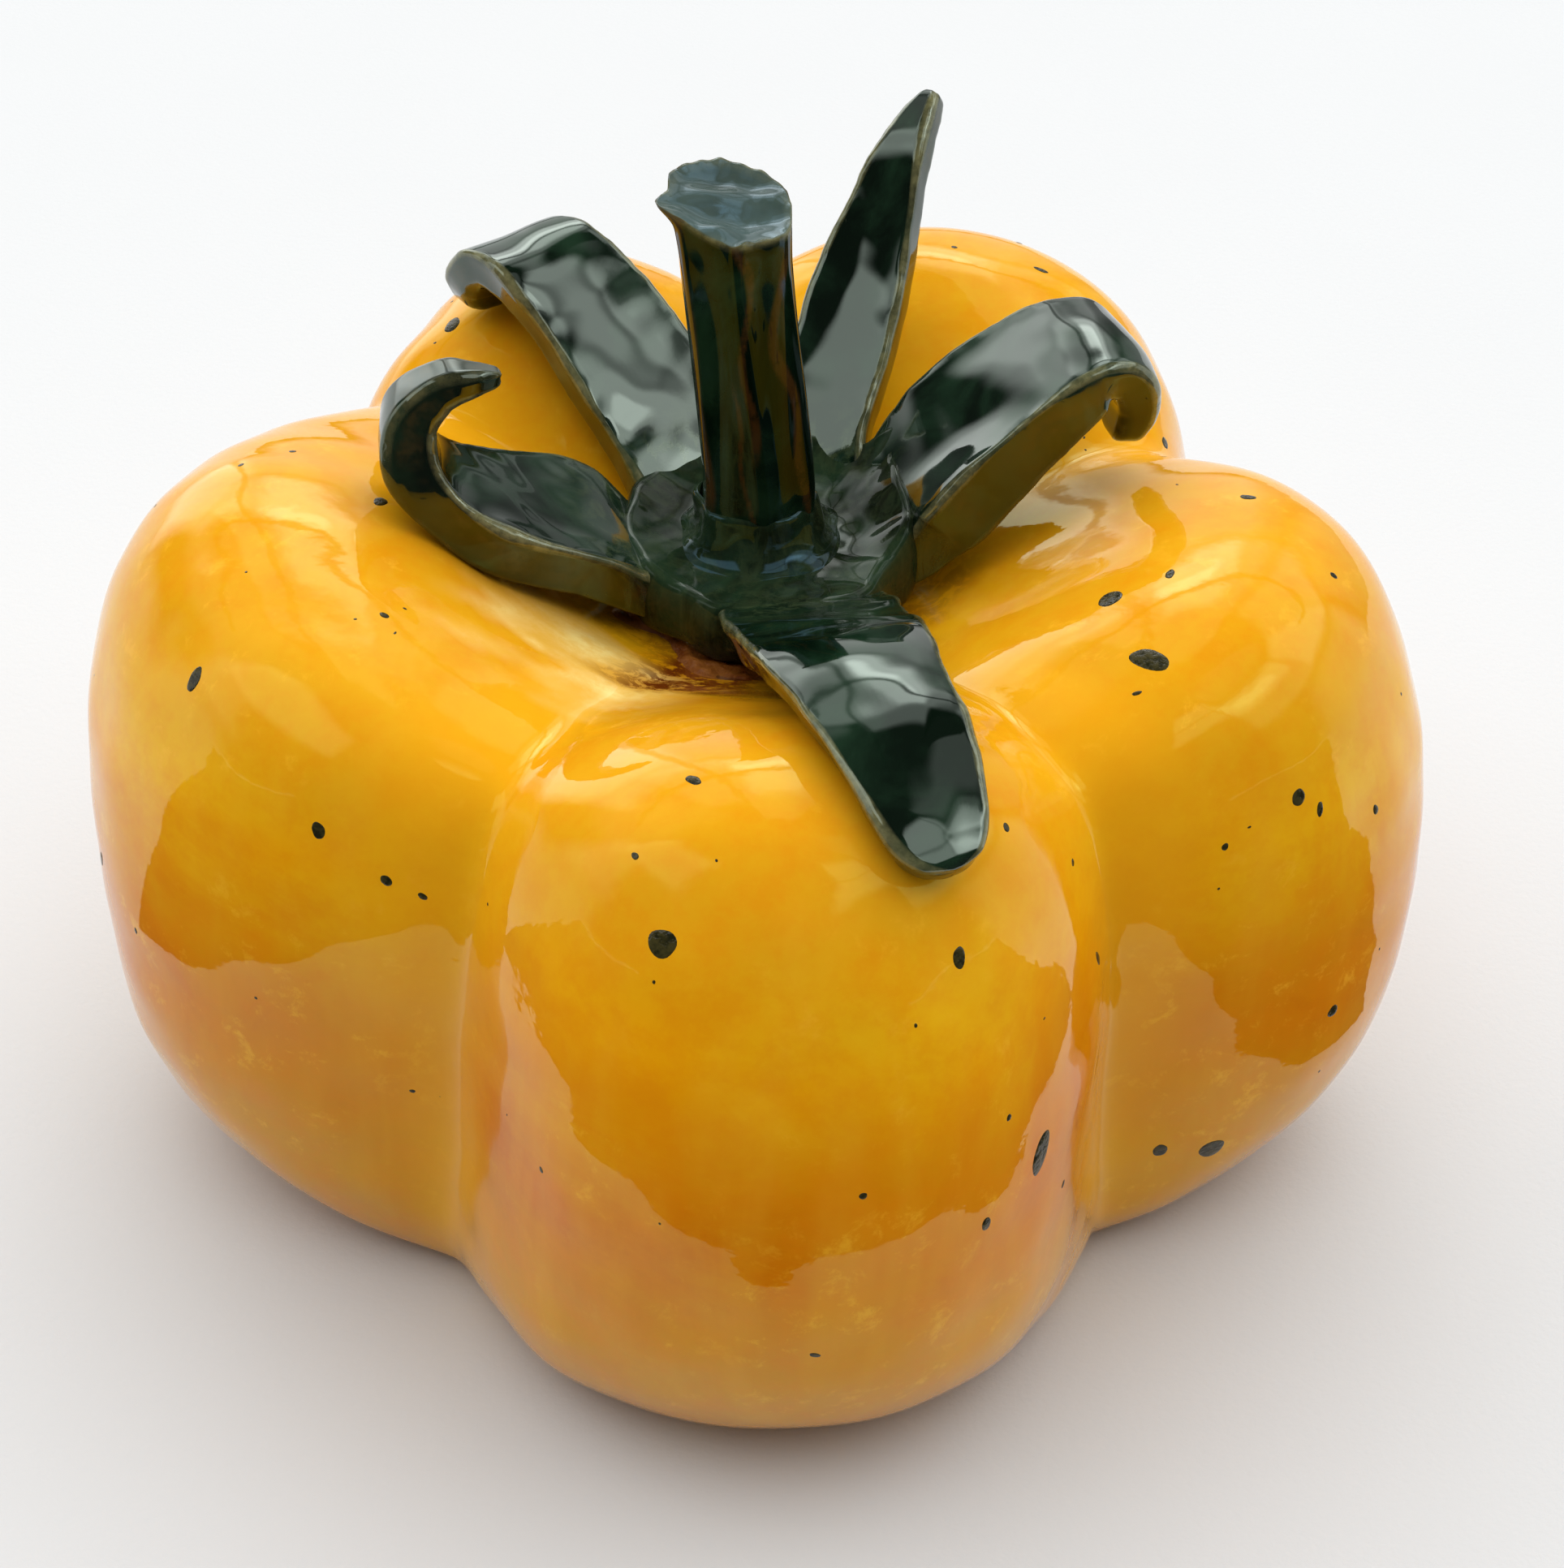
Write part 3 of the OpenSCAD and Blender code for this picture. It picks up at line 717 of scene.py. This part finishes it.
def make_sepal(label, glaze):
    """One cut and bent strap of clay, with a wavering face and chipped edges."""
    at, under, table = SEPALS[label]
    rows, s = sepal_rows(table, under, at)
    gz, ex, ez = SECTION.T[1:]
    everywhere = np.ones(rows.shape[:2])
    seed = 40 + len(label)
    corner = np.clip(np.abs(ex * ez) * 2, 0, 1)
    wobble = 0.14 * ripple(rows, 12.0, seed) + 0.016 * ripple(rows, 4.0, seed + 1)
    chips = 0.045 * ripple(rows, 4.5, seed + 2, 24) + 0.012 * ripple(rows, 1.3, seed + 3, 24)
    worn = (wobble + chips * corner) * ease(s + 0.2)
    rows = rows + outward(rows) * worn[..., None]
    edge = corner ** 0.55 * np.where(ez > 0, 1.0, 0.35)
    side = np.where(np.abs(gz) < 0.999, 1.0, 0.0)
    flank = np.maximum(side, np.where(ez < -0.3, 0.8, 0.0))
    near_root = 1 - ease((s - 0.2) / 1.4)
    piece = build("sepal_" + label + "_glazed", rows, edge=edge * everywhere,
                  flank=flank * everywhere, root=near_root * everywhere)
    finish_piece(piece, glaze, "calyx_glaze", "sepal_" + label)


# ---- Hub, pad, stalk and collar ----

HUB_LOW, HUB_TOP = 47.0, 51.5
STALK_SHIFT, STALK_LEAN, STALK_W, STALK_H = 0.7, 2.3, 8.9, 29.0
CUT_X, CUT_Y = -0.22, 0.17


# Reach of the webs between neighbouring roots: azimuth, radius, height of the edge's top
WEBS = np.array([
    [353, 12.2, 54.4], [13, 12.2, 54.9], [31, 12.6, 54.9], [41, 14.0, 56.0], [51, 12.4, 54.1],
    [67, 12.2, 54.0], [84, 12.2, 53.9], [97, 12.4, 53.3], [109, 12.2, 52.8], [127, 12.2, 52.9],
    [145, 12.2, 52.7], [160, 12.6, 52.9], [175, 12.2, 53.0], [193, 12.2, 53.1],
    [211, 12.0, 52.7], [234, 10.2, 51.9], [256, 12.0, 52.1], [284, 12.2, 52.3],
    [312, 12.2, 52.2], [333, 11.4, 52.6]])


def around_webs(a, column):
    """One column of the webs at azimuth a, smoothly joined up."""
    table = WEBS[np.argsort(WEBS[:, 0])]
    angle = np.concatenate([table[-1:, 0] - 360, table[:, 0], table[:1, 0] + 360])
    value = np.concatenate([table[-1:, column], table[:, column], table[:1, column]])
    k = np.searchsorted(angle, a % 360.0, side="right") - 1
    share = (a % 360.0 - angle[k]) / (angle[k + 1] - angle[k])
    return mix(value[k], value[k + 1], ease(share))


def make_hub(glaze):
    """Button of clay under the stalk, with webs that run out between the five roots."""
    a = azimuths(240)
    zero = np.zeros_like(a)
    reach = around_webs(a, 1) + 0.45 * ripple(polar(9.0, a, zero), 7.0, 63)
    top = around_webs(a, 2)
    profile = []
    for share in np.linspace(0.75, 0.93, 5):
        profile.append((reach * share, np.maximum(HUB_LOW, well_height(a, reach * share) + 0.35)))
    low = np.maximum(HUB_LOW, well_height(a, reach) + 0.35)
    edge_rows = 13
    for angle in np.linspace(-80, 80, edge_rows):
        rise = (top - low) / 2 * np.sin(math.radians(angle))
        profile.append((reach * 0.93 + 0.8 * cosd(angle), (top + low) / 2 + rise))
    for share in np.linspace(0.90, 0.16, 26):
        flow = np.clip((share * reach - 5.2) / (reach * 0.9 - 5.2), 0, 1)
        flow = 0.12 * flow + 0.88 * flow ** 2
        profile.append((reach * share, mix(HUB_TOP + 0.05, top + 0.1, flow)))
    rows = np.array([polar(r, a, z) for r, z in profile])
    on_top = np.clip(np.arange(len(rows)) - edge_rows + 1, 0, 4)[:, None] / 4
    rows[..., 2] += (0.10 * ripple(rows, 7.0, 61) + 0.008 * ripple(rows, 1.8, 62, 20)) * on_top
    ones = np.ones(rows.shape[:2])
    hub = build("calyx_hub_glazed", rows, edge=0.05 * ones, flank=0.5 * (1 - on_top) * ones,
                root=0.25 * ones)
    finish_piece(hub, glaze, "calyx_glaze", "calyx_hub")


# Brown streaks down the stalk: azimuth, half width, and the share of its height they run between
STREAKS = [(214, 11, 0.1, 1), (277, 5, 0.3, 0.95), (262, 3, 0.05, 0.5), (318, 8, -0.1, 0.9),
           (20, 10, 0.2, 1), (95, 12, 0, 0.8), (150, 6, 0.3, 1)]
FACET, FACET_AT = 60.0, 36.0
LIP_AT, LIP_SPREAD = 205, 34.0


def stalk_sides(a, f):
    """Rows of the stalk's faceted side at azimuths a and shares f of its height."""
    flat = STALK_W / 2 * 0.96 / cosd((a - FACET_AT) % FACET - FACET / 2)
    soft = mix(np.minimum(flat, STALK_W / 2 * 1.06), STALK_W / 2 * 1.02, 0.35)
    lean = -STALK_LEAN * np.maximum(0, f - 0.2) / 0.8
    twist = 1 + 0.02 * np.sin(2 * math.pi * (f * 0.9 + a[None] / 360.0 * 2))
    waist = 1 - 0.035 * np.sin(math.pi * f) + 0.035 * ease((f - 0.86) / 0.14)
    r = soft[None] * twist * waist
    x, y = r * cosd(a) + lean, r * sind(a)
    top = STALK_H + CUT_X * (x + STALK_LEAN) + CUT_Y * y
    rows = np.stack([x - STALK_SHIFT, y * np.ones_like(f), HUB_TOP + f * top], -1)
    groove = 0.07 * ripple(rows * np.array([1, 1, 0.05]), 3.6, 71, 20)
    rows[..., :2] += np.stack([cosd(a), sind(a)], -1)[None] * (groove * ease(f / 0.1))[..., None]
    # the torn lip stands out and up at the left of the cut
    lip = (1 - ease(apart(a, LIP_AT) / LIP_SPREAD))[None] * ease((f - 0.93) / 0.07)
    rows[..., 0] -= 1.1 * lip ** 2
    rows[..., 2] += 0.3 * lip
    return rows


def cut_rings(rim, jag, count):
    """Rings of the dented cut face inside its rim; jag is the rim's raggedness."""
    centre = rim.mean(axis=0)
    rings = []
    for share in np.linspace(0.965, 0.06, count):
        ring = centre + (rim - centre) * share
        dent = -0.45 * (1 - share ** 5) + 0.24 * ripple(ring, 4.5, 73) * (1 - share ** 4)
        ring[:, 2] += dent + jag * (share ** 14)
        rings.append(ring)
    return np.array(rings)


def streak_mask(rows, a, level):
    """Where the brown streaks run, wandering a little as they go down the stalk."""
    wander = a[None] + 7.0 * ripple(rows * np.array([1, 1, 0.5]), 7.0, 74)
    streak = np.zeros(rows.shape[:2])
    for middle, half, start, end in STREAKS:
        side = 1 - ease((apart(wander, middle) - 0.5 * half) / (0.6 * half))
        streak += side * ease((level - start) / 0.1) * (1 - ease((level - end) / 0.1))
    return np.clip(streak, 0, 1)


def make_stalk(glaze):
    """Short faceted stalk with a leaning top and a slanted, torn cut."""
    a, count, ring_count = azimuths(144), 110, 22
    f = np.linspace(0, 1, count)[:, None]
    rows = stalk_sides(a, f)
    rim = rows[-1].copy()
    jag = 0.10 * ripple(rim, 2.0, 72, 20)
    rows[-1, :, 2] += jag
    rows = np.concatenate([rows, cut_rings(rim, jag, ring_count)])
    everywhere = np.ones_like(a)
    level = np.concatenate([f, np.ones((ring_count, 1))]) * everywhere
    on_cut = np.concatenate([np.zeros(count), np.ones(ring_count)])[:, None] * everywhere
    rim_mask = np.concatenate([ease((f[:, 0] - 0.975) / 0.02), np.linspace(1, 0, 4),
                               np.zeros(ring_count - 4)])[:, None] * everywhere
    streak = streak_mask(rows, a, level) * (1 - on_cut)
    # The cut value marks the cut face, which the glaze paints paler as painted reflection.
    stalk = build("stalk_glazed", rows, edge=np.clip(rim_mask + 0.25 * on_cut, 0, 1),
                  flank=0.0 * level, root=0.2 * on_cut, cut=on_cut, streak=streak)
    finish_piece(stalk, glaze, "stalk_glaze", "stalk")


def make_collar(glaze):
    """Roll of clay smeared around the stalk's foot; each corner of its section is radius, height."""
    profile = [(4.3, 51.2), (6.8, 51.25), (6.6, 51.62), (5.9, 52.0), (5.35, 52.6), (5.0, 53.4),
               (4.75, 54.3), (4.6, 55.3), (4.3, 55.6)]
    s = np.linspace(0, len(profile) - 1, 64)
    rows = turned(catmull(np.array(profile), s), 144, -STALK_SHIFT)
    out = rows - np.array([-STALK_SHIFT, 0, 0])
    out[..., 2] = 0
    rows = rows + unit(out + 1e-9) * (0.18 * ripple(rows, 5.0, 81))[..., None]
    ones = np.ones(rows.shape[:2])
    collar = build("stalk_collar_glazed", rows, closed_path=True, edge=0.05 * ones,
                   flank=0.0 * ones, root=0.35 * ones)
    finish_piece(collar, glaze, "stalk_glaze", "stalk_collar")


def make_slip(glaze):
    """Slip squeezed out between the calyx and the body, ragged at its edge."""
    around, inner_r, under_z = 240, 6.0, 45.6
    a = azimuths(around)
    reach = 10.4 + 1.3 * ripple(polar(8.0, a, np.zeros_like(a)), 6.0, 91, 16)
    reach += 3.2 * (1 - ease(apart(a, 250) / 24.0))
    rows = []
    for share in np.linspace(0, 1, 26):
        r = mix(inner_r, reach, share)
        z = well_height(a, r)
        lift = 0.95 * (1 - share ** 3) + 0.12 * ripple(polar(r, a, z), 1.8, 92, 20)
        rows.append(polar(r, a, z + lift * ease((1 - share) / 0.15) - 0.1))
    under = turned([(9.0, under_z), (inner_r, under_z)], around)
    slip = build("luting_slip", np.concatenate([np.array(rows), under]))
    finish_piece(slip, glaze, "iron_slip", "luting_pad")


# ---- Studio ----

# Light that reflections find where there is no panel
TENT_LIGHT = 0.03
# Soft light on the figure: at the horizon, added overhead, and share added towards the back
SOFT_LOW, SOFT_RISE, SOFT_BACK = 0.50, 1.75, 0.2
# Where the tent is open at the front, as for a panel, and the share of soft light lost there
OPENING, OPENING_DIM = (-90, 70, -90, 48, 14), 0.94
BACKDROP = (0.91, 0.925, 0.92)
# Panels of cloth: azimuth, half width, lowest and highest elevation, softness, added light
PANELS = [(45, 76, 28, 56, 3, 1.1), (92, 11, 28, 53, 3, 2.0), (-14, 17, 42, 58, 3, 1.5),
          (22, 12, 30, 56, 3, 1.0), (95, 8, 35, 40, 2, 2.5), (-18, 9, 46, 53, 2, 2.0),
          (92, 16, 56, 71, 3, 0.8), (105, 27, 2, 26, 3, 0.9), (60, 18, -4, 26, 3, 0.35),
          (122, 16, -2, 36, 4, 1.4), (-163, 24, 38, 62, 4, 1.7), (150, 28, 28, 62, 5, 0.45),
          (-46, 18, 46, 70, 3, 1.6), (5, 28, 62, 78, 4, 0.4), (180, 14, 10, 40, 6, 1.2),
          (14, 22, -30, 24, 6, 0.9), (165, 25, -30, 8, 6, 0.9)]
# Seams: the same, with the share of light that they take away
SEAMS = [(90, 60, 41, 43.5, 1.0, 0.8), (-46, 40, 57, 58.5, 0.8, 0.5), (108, 1.2, 0, 80, 0.8, 0.7),
         (70, 3.0, 0, 80, 3.0, 0.6), (-32, 1.0, 30, 80, 0.6, 0.5)]


def direction_panel(g, az, el, middle, half, low, high, soft):
    """Mask of a rectangle of the surroundings, in degrees of azimuth and elevation."""
    turn = g.math("ABSOLUTE", g.math("WRAP", g.math("SUBTRACT", az, middle), 180.0, -180.0))
    side = g.step(turn, half + soft, half - soft)
    rise = g.math("MULTIPLY", g.step(el, low - soft, low + soft), g.step(el, high + soft, high - soft))
    return g.math("MULTIPLY", side, rise)


def make_world():
    """Tent: cloth panels and seams in reflections, soft light on the figure, a pale backdrop."""
    world = bpy.data.worlds.new("tent")
    g = Graph(world)
    way = g.node("SeparateXYZ")
    g.put(way.inputs[0], g.node("TexCoord").outputs["Generated"])
    x, y, z = way.outputs
    az = g.math("DEGREES", g.math("ARCTAN2", y, x))
    el = g.math("DEGREES", g.math("ARCSINE", z))
    total = None
    for *place, add in PANELS:
        part = g.math("MULTIPLY", direction_panel(g, az, el, *place), add)
        total = part if total is None else g.math("ADD", total, part)
    total = g.math("ADD", total, TENT_LIGHT)
    for *place, dim in SEAMS:
        part = g.math("MULTIPLY", direction_panel(g, az, el, *place), dim)
        total = g.math("MULTIPLY", total, g.math("SUBTRACT", 1.0, part))
    soft_light = g.math("ADD", SOFT_LOW, g.math("MULTIPLY", g.math("MAXIMUM", z, 0.0), SOFT_RISE))
    to_back = g.math("ADD", 1.0, g.math("MULTIPLY", y, SOFT_BACK))
    soft_light = g.math("MULTIPLY", soft_light, to_back)
    opening = g.math("MULTIPLY", direction_panel(g, az, el, *OPENING), OPENING_DIM)
    soft_light = g.math("MULTIPLY", soft_light, g.math("SUBTRACT", 1.0, opening))
    glossy = g.node("LightPath").outputs["Is Glossy Ray"]
    chosen = g.math("ADD", g.math("MULTIPLY", glossy, total),
                    g.math("MULTIPLY", g.math("SUBTRACT", 1.0, glossy), soft_light))
    back = g.node("Background")
    g.put(back.inputs["Color"], (1.0, 1.0, 1.0))
    g.put(back.inputs["Strength"], chosen)
    plain = g.node("Background")
    g.put(plain.inputs["Color"], BACKDROP)
    choose = g.node("MixShader")
    g.put(choose.inputs[0], g.node("LightPath").outputs["Is Camera Ray"])
    g.put(choose.inputs[1], back.outputs[0])
    g.put(choose.inputs[2], plain.outputs[0])
    g.tree.links.new(choose.outputs[0], g.node("OutputWorld").inputs[0])
    bpy.context.scene.world = world


def make_floor():
    """Plain pale paper."""
    side = 2.5
    corners = [(-side, -side, 0), (side, -side, 0), (side, side, 0), (-side, side, 0)]
    mesh = bpy.data.meshes.new("floor")
    mesh.from_pydata(corners, [], [(0, 1, 2, 3)])
    made, g = material("pale_paper")
    tone = g.noise(g.place(), 30.0, 3.0, 0.5)
    color = g.blend(tone, (0.648, 0.660, 0.664), (0.662, 0.674, 0.678))
    g.surface(Base_Color=color, Roughness=0.9, Normal=g.bump(g.noise(g.place(), 1500.0, 3.0), 0.00004))
    mesh.materials.append(made)
    add_object("floor", mesh)


def make_dark_cards():
    """Seen only in reflections: the tent's dark opening, and the table beyond the paper in front."""
    made, g = material("dark_card")
    g.surface(Base_Color=(0.02, 0.02, 0.02), Roughness=0.9)
    outer, lift = 1.6, 0.0005
    ring = [(r * cosd(a), r * sind(a), lift) for a in range(-172, -7, 4)
            for r in (0.083 - 0.015 * ease((a + 70.0) / 40.0), outer)]
    strips = [(i, i + 1, i + 3, i + 2) for i in range(0, len(ring) - 2, 2)]
    opening = [(-0.24, -0.2, 0.0), (0.22, -0.2, 0.0), (0.22, -0.2, 0.17), (0.18, -0.2, 0.205),
               (-0.19, -0.2, 0.215), (-0.24, -0.2, 0.18)]
    for name, points, faces in (("dark_apron", ring, strips),
                                ("dark_opening", opening, [tuple(range(6))])):
        mesh = bpy.data.meshes.new(name)
        mesh.from_pydata([tuple(map(float, p)) for p in points], [], faces)
        mesh.materials.append(made)
        card = add_object(name, mesh)
        card.visible_camera = card.visible_diffuse = card.visible_shadow = False


def make_camera():
    """Camera in front of the figure and above it, aimed at the middle of the body."""
    pitch, distance, roll = math.radians(39.083), 0.24619, math.radians(1.269)
    target = Vector((0.001667, -0.001399, 0.02737))
    right = Vector((1, 0, 0))
    up = Vector((0, math.sin(pitch), math.cos(pitch)))
    back = Vector((0, -math.cos(pitch), math.sin(pitch)))
    data = bpy.data.cameras.new("camera")
    data.lens = 67.79
    data.sensor_width = 36.0
    data.clip_start = 0.01
    camera = add_object("camera", data)
    turn = Matrix((right, up, back)).transposed() @ Matrix.Rotation(roll, 3, "Z")
    camera.matrix_world = Matrix.Translation(target + back * distance) @ turn.to_4x4()
    bpy.context.scene.camera = camera


make_camera()
make_world()
make_floor()
make_dark_cards()
make_body()
make_specks()
leaf = leaf_glaze("leaf_glaze")
for label in SEPALS:
    make_sepal(label, leaf)
make_hub(leaf_glaze("hub_glaze", 0.0, 1.26))
stalk_glaze = leaf_glaze("stalk_glaze", 0.6, 1.45)
make_stalk(stalk_glaze)
make_collar(stalk_glaze)
make_slip(iron_slip())
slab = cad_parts["base_slab"]
slab.data.materials.clear()
slab.data.materials.append(bare_clay())

bpy.context.scene.view_settings.view_transform = "Standard"
